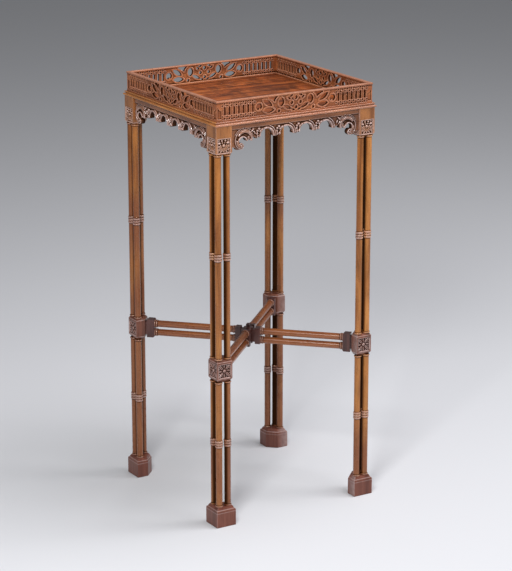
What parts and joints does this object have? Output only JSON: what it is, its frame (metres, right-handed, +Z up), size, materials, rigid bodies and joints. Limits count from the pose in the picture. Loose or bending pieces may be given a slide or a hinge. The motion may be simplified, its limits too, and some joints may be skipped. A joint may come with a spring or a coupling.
{
  "type": "kettle stand",
  "caption": "Tall slender kettle stand with a square tray top inside a pierced gallery, scroll-cut aprons, clustered round-column legs on block feet and a crossed double-rod stretcher.",
  "frame": {"origin": "on the floor under the middle of the tray", "axes": "+Z up to the gallery's rim; -Y is the front, -X the left side; the front, left, right and back are alike"},
  "size_m": [0.3124, 0.3124, 0.726],
  "materials": {
    "tray": "figured red-orange mahogany, worn wax polish",
    "gallery": "carved mahogany, worn wax polish",
    "mouldings": "moulded mahogany, worn wax polish",
    "carved_frieze": "carved mahogany, dark in its recesses, worn wax polish",
    "columns": "turned golden-brown mahogany, worn wax polish",
    "blocks": "carved mahogany, worn wax polish",
    "feet": "plain dark mahogany, worn wax polish",
    "glue_block_wood": "unpolished softwood"
  },
  "bodies": {
    "root": {"tray_panel": "tray", "glue_blocks": "glue_block_wood", "stretcher_hub": "blocks", "hub_knob": "blocks", "hub_drop": "blocks", "stretcher_rods_upper": "columns", "stretcher_rods_lower": "columns", "gallery_front": "gallery", "gallery_right": "gallery", "gallery_back": "gallery", "gallery_left": "gallery", "edge_moulding_front": "mouldings", "edge_moulding_right": "mouldings", "edge_moulding_back": "mouldings", "edge_moulding_left": "mouldings", "apron_front": "carved_frieze", "apron_right": "carved_frieze", "apron_back": "carved_frieze", "apron_left": "carved_frieze", "top_block_front_left": "carved_frieze", "top_block_front_right": "carved_frieze", "top_block_back_left": "carved_frieze", "top_block_back_right": "carved_frieze", "middle_block_front_left": "blocks", "middle_block_front_right": "blocks", "middle_block_back_left": "blocks", "middle_block_back_right": "blocks", "foot_front_left": "feet", "foot_front_right": "feet", "foot_back_left": "feet", "foot_back_right": "feet", "stretcher_end_front_left": "blocks", "stretcher_end_front_right": "blocks", "stretcher_end_back_left": "blocks", "stretcher_end_back_right": "blocks", "upper_column_front_left_outer": "columns", "upper_column_front_left_along_x": "columns", "upper_column_front_left_along_y": "columns", "upper_column_front_right_outer": "columns", "upper_column_front_right_along_x": "columns", "upper_column_front_right_along_y": "columns", "upper_column_back_left_outer": "columns", "upper_column_back_left_along_x": "columns", "upper_column_back_left_along_y": "columns", "upper_column_back_right_outer": "columns", "upper_column_back_right_along_x": "columns", "upper_column_back_right_along_y": "columns", "lower_column_front_left_outer": "columns", "lower_column_front_left_along_x": "columns", "lower_column_front_left_along_y": "columns", "lower_column_front_right_outer": "columns", "lower_column_front_right_along_x": "columns", "lower_column_front_right_along_y": "columns", "lower_column_back_left_outer": "columns", "lower_column_back_left_along_x": "columns", "lower_column_back_left_along_y": "columns", "lower_column_back_right_outer": "columns", "lower_column_back_right_along_x": "columns", "lower_column_back_right_along_y": "columns"}
  },
  "joints": []
}
